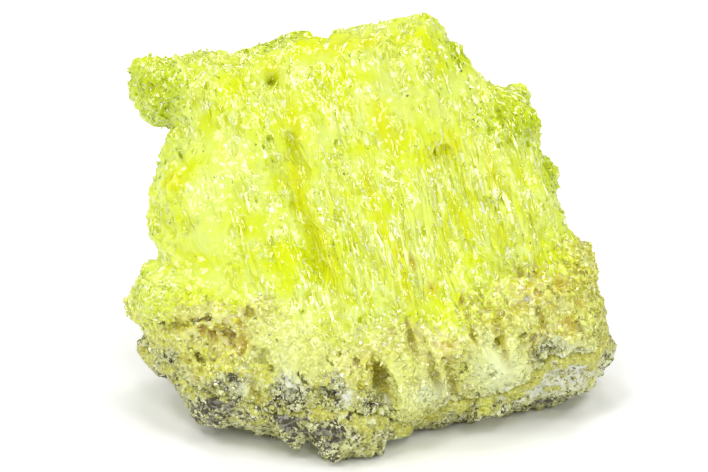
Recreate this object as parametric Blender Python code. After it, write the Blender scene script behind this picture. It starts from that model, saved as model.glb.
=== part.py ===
"""Native sulfur specimen: an intergrown mass of translucent sulfur crystals on a foot of host rock.

The striated face of the mass leans back, so its outline is drawn in a leaning plane, in
millimetres: u runs to the right, v up the slope and w out of it, towards whoever looks square
at the face. A body is swelled out of that outline, crystals, ribs and lumps are grown on it and
fused, and one rough seam then parts the fused form into the sulfur and the rock it grew on.
"""

import math
import random

import bmesh
import bpy
import numpy as np
from mathutils import Matrix, Vector, noise
from mathutils.bvhtree import BVHTree
from mathutils.geometry import delaunay_2d_cdt

MM = 0.001
SEED = 20

# Driving dimensions, in millimetres.
FACE_LEAN_DEG = 25.0  # how far the striated face leans back from upright
STRIATION_DEG = 16.0  # the ribs' tilt from the slope line, their upper ends to the left
GRID_STEP = 1.5  # spacing of the swelled body's own points
FRONT_SWELL, FRONT_REACH = 8.0, 12.0  # how far the face stands out, and how far in from the rim
BACK_SWELL_FOOT, BACK_SWELL_CREST, BACK_REACH = 21.0, 9.0, 13.0
SKIRT_DEPTH, SKIRT_FADE = 2.2, 4.5  # the wider granular zone round the foot
SKIRT_TOP = ((-32, -24, -14, -4, 6, 14, 20, 30), (26, 24.5, 21, 17, 18, 21, 24.5, 29))  # u, v
FUSE_VOXEL = 0.45  # the finest step that survives the fusing
SEAM_GAP = 0.3  # between the two solids
FACE_BUDGET = 7200  # triangles in the fused form

# The rim of the mass, clockwise from the top of the left lobe: (u, v, w).
LEFT_LOBE_TOP = [
    (-31.1, 52.8, -9), (-28.9, 52.1, -9), (-27.2, 52.5, -9), (-25.9, 52.1, -9),
    (-24.4, 53.7, -9), (-20.8, 53.7, -9), (-19.3, 54.1, -8), (-17.3, 53.1, -7),
]
CREST = [
    (-15.8, 54.4, -6), (-12.9, 55.2, -7), (-12.9, 55.9, -8), (-9.2, 56.2, -7),
    (-7.1, 55.4, -5), (-4.8, 55.6, -4), (-2.7, 56.3, -4), (0.9, 57.0, -3),
    (7.0, 58.2, -3), (8.4, 57.8, -3), (10.1, 56.2, -2), (10.6, 54.6, -2),
]
RIGHT_STEPS = [
    (12.5, 51.1, -3), (14.3, 51.0, -5), (15.6, 48.4, -5), (20.7, 48.5, -7),
    (21.8, 45.6, -6), (22.9, 41.8, -5), (24.8, 35.7, -5), (26.3, 30.6, -6),
]
RIGHT_SKIRT = [
    (27.1, 29.3, -7), (29.0, 28.8, -8), (30.1, 26.9, -8), (30.4, 23.5, -7),
    (31.6, 19.8, -8), (32.3, 16.0, -9), (32.2, 12.8, -10), (30.2, 9.8, -12),
]
UNDERSIDE = [
    (27.0, 7.4, -12), (25.6, 6.5, -12), (19.6, 6.0, -11), (11.7, 5.5, -8),
    (8.3, 5.0, -6), (4.6, 3.5, -2), (2.6, 2.6, 0), (-0.9, 0.9, 0), (-2.7, 0.3, 0),
    (-3.9, 0.5, 0), (-6.2, 2.3, -1), (-10.0, 2.7, -3), (-14.0, 3.4, -4),
    (-18.8, 4.1, -5), (-21.6, 5.2, -5),
]
LEFT_SKIRT = [
    (-24.3, 7.9, -5), (-26.4, 10.9, -5), (-29.2, 12.8, -5), (-29.9, 13.9, -5),
    (-29.1, 15.4, -5), (-30.6, 17.7, -4), (-31.6, 18.7, -4), (-31.8, 21.1, -4),
    (-29.4, 25.3, -5), (-27.2, 25.6, -5),
]
LEFT_FLANK = [
    (-27.9, 28.7, -6), (-28.7, 32.2, -6), (-28.3, 37.2, -6), (-26.0, 41.7, -6),
    (-24.9, 43.5, -7), (-26.0, 44.4, -9), (-29.0, 44.4, -9), (-29.7, 45.8, -9),
    (-30.8, 48.6, -9), (-31.5, 50.1, -9),
]
OUTLINE = (
    LEFT_LOBE_TOP + CREST + RIGHT_STEPS + RIGHT_SKIRT + UNDERSIDE + LEFT_SKIRT + LEFT_FLANK
)

# Broad forms of the face: (u, v, reach across the ribs, reach along them, height).
FACE_FORMS = {
    "left_shoulder": (-20.0, 33.0, 7.0, 9.0, 2.2),
    "long_groove": (-9.5, 33.0, 1.6, 10.0, -2.4),
    "centre_buttress": (1.0, 34.0, 4.5, 14.0, 1.6),
    "crest_boss": (7.0, 50.0, 5.0, 5.0, 1.5),
    "right_hollow": (11.5, 30.0, 2.5, 8.0, -1.8),
    "right_pillar": (19.0, 33.0, 3.0, 10.0, 1.2),
    "skirt_left_boss": (-27.0, 20.0, 4.0, 4.0, 1.5),
    "skirt_left_cavity": (-16.8, 15.0, 4.0, 2.6, -2.4),
    "skirt_pale_lobe": (-9.5, 13.0, 3.0, 5.0, 1.8),
    "tip_cleft": (2.4, 7.5, 1.1, 5.5, -2.6),
    "hanging_lobe": (5.5, 7.5, 2.2, 4.5, 1.6),
    "skirt_white_boss": (17.4, 12.5, 3.6, 3.8, 2.4),
    "skirt_right_cavity": (23.0, 11.5, 2.2, 2.6, -1.8),
    "skirt_right_hollow": (20.5, 23.5, 4.0, 3.0, -1.4),
}

RIB_TOP = 49.5  # no rib has its middle higher up the slope than this
SHOULDER_EDGE = -11.0  # left of this the ribs are sunk deeper and the face is smoother

# Crystals large enough to tell apart: (u, v, w), then length, width and height, then the turn
# of their length from the u direction, in degrees.
LARGE_CRYSTALS = {
    "lobe_upper": ((-28.4, 49.6, -9.5), (5.6, 5.6, 6.0), 4),
    "lobe_lower": ((-26.9, 46.4, -9.5), (5.4, 4.4, 5.5), -8),
    "lobe_inner": ((-22.6, 50.2, -9.0), (7.0, 6.0, 6.5), 12),
    "crest_corner": ((7.2, 53.5, -3.5), (7.2, 6.0, 7.0), 8),
    "crest_left": ((-14.6, 51.6, -7.0), (5.6, 5.4, 5.5), -14),
    "right_step": ((17.6, 45.6, -6.0), (6.4, 5.4, 6.0), 2),
    "right_skirt_corner": ((28.0, 25.6, -8.5), (5.0, 6.2, 6.0), 20),
}

# Angular holes sunk into the face: (u, v, width, length along the ribs, depth).
PITS = {
    "crest_pit": (-12.4, 49.3, 2.4, 2.8, 1.0),
    "long_groove_high": (-9.0, 39.0, 2.4, 10.0, 0.6),
    "long_groove_low": (-6.6, 27.0, 2.6, 10.0, 0.7),
    "ledge_hollow": (10.2, 38.5, 3.8, 7.0, 0.6),
    "skirt_pit_left": (-19.4, 16.4, 4.4, 3.2, 1.2),
    "skirt_pit_low": (-14.0, 13.4, 3.6, 3.0, 1.2),
    "tip_slot": (2.8, 9.6, 2.2, 8.5, 1.4),
    "skirt_pit_right": (21.6, 14.8, 4.2, 3.6, 1.0),
    "skirt_pit_middle": (-1.6, 15.4, 3.0, 4.0, 0.9),
}

# The front line of the seam between sulfur and rock: places along X, and its height there.
SEAM_ALONG_X = (-27, -21, -15, -10, -5, -1, 2, 4.5, 8, 12, 17, 21, 24, 27, 31)
SEAM_FRONT_Z = (11.5, 9.2, 8, 7, 9.4, 8.5, 6.5, 3.4, 5, 6, 7, 8, 12, 12, 10)
SEAM_BACK_Z = (14, 17, 21, 22, 20, 19, 20, 22, 23, 21, 19, 18, 19, 20, 18)  # the same at the back
SEAM_RISE_Y = (6.0, 28.0)  # where it starts to climb, and where it has
SEAM_ROUGHNESS, SEAM_GRAIN = 1.8, 5.0
SEAM_STEP = 3.0

SULFUR_COLOUR = (0.79, 0.86, 0.11, 1.0)
ROCK_COLOUR = (0.36, 0.36, 0.25, 1.0)


# --- The leaning plane -------------------------------------------------------------------

LEAN = math.radians(FACE_LEAN_DEG)
UP_SLOPE = Vector((0, math.sin(LEAN), math.cos(LEAN)))
OUT_OF_SLOPE = Vector((0, -math.cos(LEAN), math.sin(LEAN)))
RIB_TILT = math.radians(STRIATION_DEG)
ALONG_RIBS = (math.cos(RIB_TILT) * UP_SLOPE - math.sin(RIB_TILT) * Vector((1, 0, 0))).normalized()


def on_slope(u, v, w):
    """The place, in metres, of a point given in millimetres in the leaning plane."""
    return (Vector((u, 0, 0)) + UP_SLOPE * v + OUT_OF_SLOPE * w) * MM


def slope_of(place):
    """The reverse of on_slope."""
    return place.x / MM, place.dot(UP_SLOPE) / MM, place.dot(OUT_OF_SLOPE) / MM


def smooth_step(x, low, high):
    t = min(max((x - low) / (high - low), 0.0), 1.0)
    return t * t * (3 - 2 * t)


# --- Objects -----------------------------------------------------------------------------

def new_object(name, mesh):
    made = bpy.data.objects.new(name, mesh)
    bpy.context.scene.collection.objects.link(made)
    return made


def mesh_of(body, name):
    mesh = bpy.data.meshes.new(name)
    body.to_mesh(mesh)
    body.free()
    return mesh


def cutter_from(name, body):
    """A helper for a Boolean: never drawn and never handed in."""
    cutter = new_object(name, mesh_of(body, name))
    cutter.hide_render = True
    cutter.display_type = "WIRE"
    return cutter


# --- The swelled body --------------------------------------------------------------------

def rim_distances(points, rim):
    """How far each point lies from the closed rim."""
    starts, ends = rim, np.roll(rim, -1, axis=0)
    runs = ends - starts
    offsets = points[:, None] - starts[None]
    shares = np.clip((offsets * runs).sum(2) / (runs ** 2).sum(1), 0, 1)
    return np.linalg.norm(offsets - shares[..., None] * runs, axis=2).min(axis=1)


def rim_depths(points, rim, depths):
    """The rim's depth carried inwards: each rim point counts by its nearness."""
    squares = ((points[:, None] - rim[None]) ** 2).sum(2) + 0.01
    return (depths / squares).sum(1) / (1 / squares).sum(1)


def rounding(distance, reach):
    """0 at the rim, rising like a quarter circle to 1 at the reach."""
    return math.sqrt(1 - (1 - min(distance / reach, 1.0)) ** 2)


def face_forms(u, v):
    """The summed height of the broad forms at a point of the face."""
    total = 0.0
    for form_u, form_v, across, along, height in FACE_FORMS.values():
        du, dv = u - form_u, v - form_v
        side = (du * math.cos(RIB_TILT) + dv * math.sin(RIB_TILT)) / across
        run = (dv * math.cos(RIB_TILT) - du * math.sin(RIB_TILT)) / along
        total += height * math.exp(-side * side - run * run)
    return total


def above_skirt(u, v):
    return v - float(np.interp(u, *SKIRT_TOP))


def front_height(u, v, distance):
    skirt = SKIRT_DEPTH * (1 - smooth_step(above_skirt(u, v), -SKIRT_FADE, 0))
    rounded = rounding(distance, FRONT_REACH)
    return (FRONT_SWELL + skirt) * rounded + face_forms(u, v) * min(distance / 3, 1)


def back_height(v, distance):
    crest = smooth_step(v, 12, 56)
    swell = BACK_SWELL_FOOT + (BACK_SWELL_CREST - BACK_SWELL_FOOT) * crest
    return swell * rounding(distance, BACK_REACH)


def swelled_body():
    """One closed mesh with a front and a back sheet that meet along the outline."""
    outline = np.array(OUTLINE, float)
    rim, depths = outline[:, :2], outline[:, 2]
    low, high = rim.min(axis=0), rim.max(axis=0)
    grid = np.array([
        (u + (row % 2) * GRID_STEP / 2, v)
        for row, v in enumerate(np.arange(low[1], high[1], GRID_STEP * 0.87))
        for u in np.arange(low[0], high[0], GRID_STEP)
    ])
    grid = grid[rim_distances(grid, rim) > GRID_STEP * 0.5]
    points = [Vector(p) for p in np.vstack([rim, grid])]
    sides = [(i, (i + 1) % len(rim)) for i in range(len(rim))]
    flat, _, faces, *_ = delaunay_2d_cdt(points, sides, [], 1, 1e-5)

    flat = np.array([tuple(p) for p in flat])
    distances = rim_distances(flat, rim)
    rests = rim_depths(flat, rim, depths)
    body = bmesh.new()
    fronts, backs = [], []
    for (u, v), distance, rest in zip(flat, distances, rests):
        front = body.verts.new(on_slope(u, v, rest + front_height(u, v, distance)))
        on_rim = distance < 1e-4
        back = front if on_rim else body.verts.new(on_slope(u, v, rest - back_height(v, distance)))
        fronts.append(front)
        backs.append(back)
    for face in faces:
        body.faces.new([fronts[i] for i in face])
        body.faces.new([backs[i] for i in reversed(face)])
    loose = [v for v in body.verts if not v.link_faces]
    bmesh.ops.delete(body, geom=loose, context="VERTS")
    return body


# --- What grows on it --------------------------------------------------------------------

def crystal_points(length, width, height, taper):
    """A six-sided prism that tapers at both ends, lying along X with its top up Z."""
    section = [(0.5, 0), (0.27, 0.5), (-0.27, 0.5), (-0.5, 0), (-0.27, -0.5), (0.27, -0.5)]
    for x, scale in ((-0.5, taper), (-0.25, 1.0), (0.25, 1.0), (0.5, taper)):
        for y, z in section:
            yield Vector((x * length, y * width * scale, z * height * scale))


def boulder_points(size, flatness, rng):
    """Points thrown at a ball, whose hull is an angular lump."""
    for _ in range(16):
        point = Vector((rng.gauss(0, 1), rng.gauss(0, 1), rng.gauss(0, 1))).normalized()
        yield Vector((point.x, point.y, point.z * flatness)) * size / 2


def add_hull(body, points, place, along, out):
    """Adds the hull of the points, turned so that X runs along and Z points out."""
    x_axis = (along - along.dot(out) * out).normalized()
    turn = Matrix((x_axis, out.cross(x_axis), out)).transposed()
    verts = [body.verts.new(place + turn @ (MM * point)) for point in points]
    made = bmesh.ops.convex_hull(body, input=verts, use_existing_faces=False)
    inside = set(made["geom_interior"] + made["geom_unused"])
    spare = [g for g in inside if isinstance(g, bmesh.types.BMVert)]
    bmesh.ops.delete(body, geom=spare, context="VERTS")


def jittered(direction, amount, rng):
    shake = Vector([rng.uniform(-amount, amount) for _ in range(3)])
    return (direction + shake).normalized()


def scattered(surface, spacing, wanted, rng):
    """Places on the surface, and the way out there, no two nearer than the spacing."""
    surface.normal_update()
    triangles = [(f, f.calc_area()) for f in surface.faces if f.is_valid]
    faces, areas = zip(*triangles)
    kept = []
    for face in rng.choices(faces, areas, k=6000):
        a, b, c = (vert.co for vert in face.verts[:3])
        s, t = sorted((rng.random(), rng.random()))
        place = a * s + b * (t - s) + c * (1 - t)
        if not wanted(place, face.normal):
            continue
        if all((place - other).length > spacing * MM for other, _ in kept):
            kept.append((place, face.normal.copy()))
    return kept


def in_rock(place, margin=0.0):
    return place.z / MM < seam_height(place.x / MM, place.y / MM) + margin


def on_striated_face(place, normal):
    u, v, _ = slope_of(place)
    return normal.dot(OUT_OF_SLOPE) > 0.5 and above_skirt(u, v) > -2 and v < RIB_TOP and u > -25


def on_skirt(place, normal):
    u, v, _ = slope_of(place)
    return above_skirt(u, v) < 0 and normal.dot(OUT_OF_SLOPE) > -0.2 and not in_rock(place)


def on_other_sulfur(place, normal):
    return not (on_striated_face(place, normal) or on_skirt(place, normal) or in_rock(place))


def grow_large(body, surface, rng):
    """The few crystals that have a place of their own."""
    for (u, v, w), size, turn in LARGE_CRYSTALS.values():
        angle = math.radians(turn)
        along = Vector((math.cos(angle), 0, 0)) + UP_SLOPE * math.sin(angle)
        out = jittered(OUT_OF_SLOPE, 0.12, rng)
        add_hull(body, crystal_points(*size, 0.8), on_slope(u, v, w), along, out)


def grow_ribs(body, surface, rng):
    """Long flat-faced crystals side by side down the face: its striations."""
    for place, normal in scattered(surface, 2.7, on_striated_face, rng):
        length, width = rng.uniform(8, 15), rng.uniform(2.0, 3.2)
        along, out = jittered(ALONG_RIBS, 0.05, rng), jittered(normal, 0.16, rng)
        sunk = 0.9 if slope_of(place)[0] < SHOULDER_EDGE else 0.5
        points = crystal_points(length, width, rng.uniform(2.0, 2.6), 0.35)
        add_hull(body, points, place - sunk * MM * normal, along, out)


def grow_blocks(body, surface, rng):
    """Stubby crystals turned every way over the lobe, the crest and the back."""
    for place, normal in scattered(surface, 3.6, on_other_sulfur, rng):
        size = rng.uniform(4.0, 7.0)
        along, out = jittered(ALONG_RIBS, 0.9, rng), jittered(normal, 0.35, rng)
        points = crystal_points(size, size * rng.uniform(0.6, 0.9), size * 0.7, 0.5)
        add_hull(body, points, place - 0.22 * size * MM * normal, along, out)


def grow_lumps(body, surface, rng):
    """The knobbly granular skirt."""
    for place, normal in scattered(surface, 2.4, on_skirt, rng):
        size = rng.uniform(2.6, 4.4)
        along = jittered(ALONG_RIBS, 0.5, rng)
        points = boulder_points(size, rng.uniform(0.7, 1.0), rng)
        add_hull(body, points, place - 0.2 * size * MM * normal, along, normal)


def grow_rubble(body, surface, rng):
    """Angular stones of the rock that show round the foot and up the back."""
    for place, normal in scattered(surface, 4.0, lambda place, normal: in_rock(place), rng):
        size = rng.uniform(4.5, 8.0)
        along = jittered(ALONG_RIBS, 0.9, rng)
        points = boulder_points(size, rng.uniform(0.6, 0.9), rng)
        add_hull(body, points, place - 0.15 * size * MM * normal, along, normal)


def pits(surface, rng):
    """The holes as one cutter, each set at the face's own depth."""
    tree = BVHTree.FromBMesh(surface)
    body = bmesh.new()
    for u, v, width, length, depth in PITS.values():
        start = on_slope(u, v, 40)
        place, normal, *_ = tree.ray_cast(start, -OUT_OF_SLOPE)
        points = [
            point + Vector([rng.uniform(-0.16, 0.16) * side for side in (length, width, depth)])
            for point in crystal_points(length, width, 2.6 * depth, 0.3)
        ]
        lift = 0.3 * depth * MM
        out = jittered(OUT_OF_SLOPE, 0.15, rng)
        add_hull(body, points, place + lift * normal, jittered(ALONG_RIBS, 0.1, rng), out)
    return cutter_from("pits", body)


# --- Fusing and parting ------------------------------------------------------------------


def evaluated_mesh(source, name):
    """The source's mesh with its modifiers applied, and the source removed."""
    graph = bpy.context.evaluated_depsgraph_get()
    mesh = bpy.data.meshes.new_from_object(source.evaluated_get(graph))
    mesh.name = name
    bpy.data.objects.remove(source)
    return mesh


def fused(body):
    """The overlapping shells as one skin, thinned where it is flat."""
    source = new_object("shells", mesh_of(body, "shells"))
    fuse = source.modifiers.new("fuse", "REMESH")
    fuse.mode = "VOXEL"
    fuse.voxel_size = FUSE_VOXEL * MM
    source = new_object("skin", evaluated_mesh(source, "skin"))
    triangles = sum(len(p.vertices) - 2 for p in source.data.polygons)
    thin = source.modifiers.new("thin", "DECIMATE")
    thin.ratio = FACE_BUDGET / triangles
    return evaluated_mesh(source, "form")


def seam_height(x, y):
    """How high the rock reaches at a place, all in millimetres."""
    front = float(np.interp(x, SEAM_ALONG_X, SEAM_FRONT_Z))
    back = float(np.interp(x, SEAM_ALONG_X, SEAM_BACK_Z))
    climb = smooth_step(y, *SEAM_RISE_Y)
    rough = SEAM_ROUGHNESS * noise.noise(Vector((x, y, 0)) / SEAM_GRAIN)
    return front + (back - front) * climb + rough


def rock_side(name, offset):
    """A block whose top is the seam, raised by the offset: what it takes is rock."""
    reach_x, reach_y, depth = 42.0, (-15.0, 48.0), -20.0
    xs = np.arange(-reach_x, reach_x + SEAM_STEP, SEAM_STEP)
    ys = np.arange(reach_y[0], reach_y[1] + SEAM_STEP, SEAM_STEP)
    block = bmesh.new()
    top = [
        [block.verts.new(Vector((x, y, seam_height(x, y) + offset)) * MM) for x in xs] for y in ys
    ]
    for near, far in zip(top, top[1:]):
        for i in range(len(xs) - 1):
            block.faces.new((near[i], near[i + 1], far[i + 1]))
            block.faces.new((near[i], far[i + 1], far[i]))
    border = [e for e in block.edges if e.is_boundary]
    walls = bmesh.ops.extrude_edge_only(block, edges=border)["geom"]
    feet = [g for g in walls if isinstance(g, bmesh.types.BMVert)]
    for foot in feet:
        foot.co.z = depth * MM
    bmesh.ops.contextual_create(block, geom=[e for e in block.edges if e.is_boundary])
    bmesh.ops.recalc_face_normals(block, faces=block.faces)
    return cutter_from(name, block)


def floor_block():
    """All that lies under the flat the specimen stands on."""
    block = bmesh.new()
    bmesh.ops.create_cube(block, size=200 * MM, matrix=Matrix.Translation((0, 0, -100 * MM)))
    return cutter_from("under_floor", block)


def keep_largest(mesh):
    """Drops the crumbs that a cut leaves loose."""
    body = bmesh.new()
    body.from_mesh(mesh)
    body.verts.ensure_lookup_table()
    unseen, islands = set(body.verts), []
    while unseen:
        stack, island = [unseen.pop()], []
        while stack:
            vert = stack.pop()
            island.append(vert)
            for edge in vert.link_edges:
                other = edge.other_vert(vert)
                if other in unseen:
                    unseen.remove(other)
                    stack.append(other)
        islands.append(island)
    islands.sort(key=len)
    for island in islands[:-1]:
        bmesh.ops.delete(body, geom=island, context="VERTS")
    body.to_mesh(mesh)
    body.free()


def parted(name, form, cuts):
    """One of the two solids: the fused form after its cuts."""
    source = new_object(name, form.copy())
    for cutter, operation in cuts:
        cut = source.modifiers.new(cutter.name, "BOOLEAN")
        cut.object = cutter
        cut.operation = operation
    mesh = evaluated_mesh(source, name)
    keep_largest(mesh)
    return new_object(name, mesh)


# --- Finish ------------------------------------------------------------------------------

def finish_of(name, colour, roughness, translucence):
    material = bpy.data.materials.new(name)
    material.use_nodes = True
    shader = material.node_tree.nodes["Principled BSDF"]
    shader.inputs["Base Color"].default_value = colour
    shader.inputs["Roughness"].default_value = roughness
    shader.inputs["Metallic"].default_value = 0.0
    shader.inputs["Subsurface Weight"].default_value = translucence
    shader.inputs["Subsurface Scale"].default_value = 2 * MM
    return material


def centre_on_floor(objects):
    """Slides the pieces so that the origin is under the middle of their common box."""
    corners = np.array([tuple(v.co) for o in objects for v in o.data.vertices])
    low, high = corners.min(axis=0), corners.max(axis=0)
    shift = Vector((-(low[0] + high[0]) / 2, -(low[1] + high[1]) / 2, -low[2]))
    for made in objects:
        made.data.transform(Matrix.Translation(shift))
    return shift


def main():
    for old in list(bpy.data.objects):
        bpy.data.objects.remove(old)
    rng = random.Random(SEED)
    surface = swelled_body()
    body = surface.copy()
    for grow in (grow_large, grow_ribs, grow_blocks, grow_lumps, grow_rubble):
        grow(body, surface, rng)
    holes = pits(surface, rng)
    surface.free()
    form = fused(body)
    floor = floor_block()

    upper_side = rock_side("seam_for_sulfur", SEAM_GAP / 2)
    lower_side = rock_side("seam_for_rock", -SEAM_GAP / 2)
    trim = [(holes, "DIFFERENCE"), (floor, "DIFFERENCE")]
    sulfur = parted("sulfur_crystals", form, [(upper_side, "DIFFERENCE")] + trim)
    rock = parted("host_rock", form, [(lower_side, "INTERSECT")] + trim)
    sulfur.data.materials.append(finish_of("sulfur", SULFUR_COLOUR, 0.18, 0.8))
    rock.data.materials.append(finish_of("rock", ROCK_COLOUR, 0.85, 0.0))
    shift = centre_on_floor([sulfur, rock])
    print("leaning plane's origin now at", [round(x / MM, 2) for x in shift])
    for made in (sulfur, rock):
        print(made.name, len(made.data.polygons), [round(x / MM, 1) for x in made.dimensions])


main()
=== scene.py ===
"""The looks of a native sulfur specimen: translucent yellow crystals on a foot of host rock.

Each solid of the model gets a fine skin. Small crystals, ribs and grains are thrown on the solid,
fused with it, stepped and pitted, and thinned where it is flat. Four pieces of small sharp crystals
then lie over the sulfur's skin and glint. Every piece carries values that the materials read, such
as how hollow a place is, how much crust covers it, how near the rock is, and what marks it.
"""

import math
from typing import NamedTuple

import bmesh
import bpy
import numpy as np
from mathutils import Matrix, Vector, noise
from mathutils.bvhtree import BVHTree


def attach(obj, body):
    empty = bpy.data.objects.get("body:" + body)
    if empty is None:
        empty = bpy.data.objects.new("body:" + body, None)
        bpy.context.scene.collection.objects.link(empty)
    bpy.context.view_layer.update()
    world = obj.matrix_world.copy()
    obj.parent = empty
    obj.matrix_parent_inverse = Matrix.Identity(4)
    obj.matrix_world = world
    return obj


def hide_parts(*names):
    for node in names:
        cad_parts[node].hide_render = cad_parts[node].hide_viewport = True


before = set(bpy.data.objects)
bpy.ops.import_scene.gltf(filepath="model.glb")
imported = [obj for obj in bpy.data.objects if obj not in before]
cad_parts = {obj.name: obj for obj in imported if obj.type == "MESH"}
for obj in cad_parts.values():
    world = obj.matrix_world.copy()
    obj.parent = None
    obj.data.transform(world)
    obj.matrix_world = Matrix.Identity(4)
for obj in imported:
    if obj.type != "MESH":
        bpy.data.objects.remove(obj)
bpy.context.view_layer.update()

MM = 0.001
SEED = 5

# The leaning plane of the ribbed face, as the solids have it: u runs right, v up, w out.
FACE_LEAN = math.radians(25)
RIB_TILT = math.radians(16)
FACE_FOOT = np.array((-0.68, -16.24, 0.0))  # where its u, v and w are 0, in millimetres
RIGHT = np.array((1.0, 0.0, 0.0))
UP_SLOPE = np.array((0.0, math.sin(FACE_LEAN), math.cos(FACE_LEAN)))
OUT_OF_SLOPE = np.array((0.0, -math.cos(FACE_LEAN), math.sin(FACE_LEAN)))
ALONG_RIBS = math.cos(RIB_TILT) * UP_SLOPE - math.sin(RIB_TILT) * RIGHT
ACROSS_RIBS = np.cross(ALONG_RIBS, OUT_OF_SLOPE)


# --- Points and places -------------------------------------------------------------------

def on_face(points):
    """The u, v and w of points given in millimetres."""
    rest = np.asarray(points) - FACE_FOOT
    return rest @ RIGHT, rest @ UP_SLOPE, rest @ OUT_OF_SLOPE


def turned_to_ribs(u, v):
    """How far a place lies across the ribs and along them."""
    across = u * math.cos(RIB_TILT) + v * math.sin(RIB_TILT)
    along = v * math.cos(RIB_TILT) - u * math.sin(RIB_TILT)
    return across, along


def unit(vectors):
    return vectors / np.maximum(np.linalg.norm(vectors, axis=-1, keepdims=True), 1e-9)


def step_up(x, low, high):
    """0 at low, 1 at high, smooth between."""
    t = np.clip((x - low) / (high - low), 0, 1)
    return t * t * (3 - 2 * t)


def noise_at(points, grain, shift=0.0):
    """Smooth noise from about -1 to 1, whose lumps are as wide as the grain, in millimetres."""
    places = points / grain + shift
    return np.array([noise.noise(Vector(p)) for p in places])


def hump(u, v, at_u, at_v, across, along):
    """1 at a place on the face, falling to 0 beyond the given reaches, tilted like the ribs."""
    side, run = turned_to_ribs(u - at_u, v - at_v)
    return np.exp(-(side / across) ** 2 - (run / along) ** 2)


def tree_over(points, triangles):
    return BVHTree.FromPolygons([Vector(p) for p in points], triangles.tolist())


def distances(points, tree):
    """How far each point lies from a surface, in millimetres."""
    return np.array([tree.find_nearest(Vector(p))[3] for p in points])


# --- Crystals ----------------------------------------------------------------------------

class Habit(NamedTuple):
    """A crystal of unit size along X: rings of one section, as (place along X, scale)."""

    section: tuple
    rings: tuple
    height: tuple = (0.8, 1.2)  # for its width
    bends: bool = False  # lies along the skin


SIX_SIDED = ((0.5, 0.0), (0.26, 0.5), (-0.26, 0.5), (-0.5, 0.0), (-0.26, -0.5), (0.26, -0.5))
FOUR_SIDED = ((0.5, 0.0), (0.0, 0.5), (-0.5, 0.0), (0.0, -0.5))
LONG_RINGS = ((-0.5, 0.2), (-0.3, 0.8), (-0.1, 1.0), (0.12, 1.0), (0.32, 0.75), (0.5, 0.2))
PRISM = Habit(SIX_SIDED, ((-0.5, 0.3), (-0.3, 1.0), (0.3, 1.0), (0.5, 0.3)))
GRAIN = Habit(FOUR_SIDED, ((-0.5, 0.5), (0.1, 1.0), (0.5, 0.35)))
RIB = Habit(SIX_SIDED, LONG_RINGS, bends=True)
ROOF = Habit(FOUR_SIDED, LONG_RINGS, (0.5, 0.66), True)
UNEVENNESS = 0.06  # how far a corner may stray, for the crystal's size


def crystal_template(habit):
    """The corners and triangles of one crystal."""
    section, rings = habit.section, habit.rings
    corners = [(x, y * scale, z * scale) for x, scale in rings for y, z in section]
    sides, triangles = len(section), []
    for ring in range(len(rings) - 1):
        for i in range(sides):
            a, b = ring * sides + i, ring * sides + (i + 1) % sides
            triangles += [(a, a + sides, b + sides), (a, b + sides, b)]
    last = (len(rings) - 1) * sides
    triangles += [(0, i, i + 1) for i in range(1, sides - 1)]
    triangles += [(last, last + i + 1, last + i) for i in range(1, sides - 1)]
    return np.array(corners), np.array(triangles)


def crystals(places, along, out, sizes, habit, rng):
    """Many crystals, each turned by along and out: their corners, and the triangles of all."""
    corners, triangles = crystal_template(habit)
    x_axis = unit(along - (along * out).sum(1, keepdims=True) * out)
    turn = np.stack((x_axis, np.cross(out, x_axis), out), axis=1)
    shapes = corners[None] + rng.uniform(-UNEVENNESS, UNEVENNESS, (len(places), *corners.shape))
    made = np.einsum("nkc,ncd->nkd", shapes * sizes[:, None, :], turn) + places[:, None, :]
    starts = np.arange(len(places))[:, None, None] * len(corners)
    return made, (triangles[None] + starts).reshape(-1, 3)


def laid(made, sides, tree, lift):
    """Bends each crystal to the skin: the middle of every ring keeps the lift over it."""
    rings = made.reshape(len(made), -1, sides, 3)
    middles = rings.mean(axis=2)
    targets = np.empty_like(middles)
    for i, row in enumerate(middles):
        for j, middle in enumerate(row):
            place, out, *_ = tree.find_nearest(Vector(middle))
            targets[i, j] = np.array(place) + lift[i] * np.array(out)
    return (rings + (targets - middles)[:, :, None, :]).reshape(made.shape)


# --- Meshes ------------------------------------------------------------------------------

def joined(parts):
    """Several sets of points and triangles as one."""
    starts = np.cumsum([0] + [len(points) for points, _ in parts])
    points = np.concatenate([points for points, _ in parts])
    triangles = np.concatenate([tris + start for (_, tris), start in zip(parts, starts)])
    return points, triangles


def mesh_from(name, points, triangles):
    mesh = bpy.data.meshes.new(name)
    mesh.vertices.add(len(points))
    mesh.vertices.foreach_set("co", (points * MM).astype(np.float32).ravel())
    mesh.loops.add(len(triangles) * 3)
    mesh.loops.foreach_set("vertex_index", triangles.astype(np.int32).ravel())
    mesh.polygons.add(len(triangles))
    mesh.polygons.foreach_set("loop_start", np.arange(0, len(triangles) * 3, 3, dtype=np.int32))
    mesh.update(calc_edges=True)
    mesh.validate()
    return mesh


def points_of(mesh):
    points = np.empty(len(mesh.vertices) * 3, np.float32)
    mesh.vertices.foreach_get("co", points)
    return points.reshape(-1, 3).astype(float) / MM


def triangles_of(mesh):
    mesh.calc_loop_triangles()
    triangles = np.empty(len(mesh.loop_triangles) * 3, np.int32)
    mesh.loop_triangles.foreach_get("vertices", triangles)
    return triangles.reshape(-1, 3)


def normals_of(mesh):
    normals = np.empty(len(mesh.vertices) * 3, np.float32)
    mesh.vertex_normals.foreach_get("vector", normals)
    return normals.reshape(-1, 3).astype(float)


def edges_of(mesh):
    edges = np.empty(len(mesh.edges) * 2, np.int32)
    mesh.edges.foreach_get("vertices", edges)
    return edges.reshape(-1, 2)


def move_to(mesh, points):
    mesh.vertices.foreach_set("co", (points * MM).astype(np.float32).ravel())
    mesh.update()


def triangle_count(mesh):
    return sum(len(p.vertices) - 2 for p in mesh.polygons)


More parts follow.
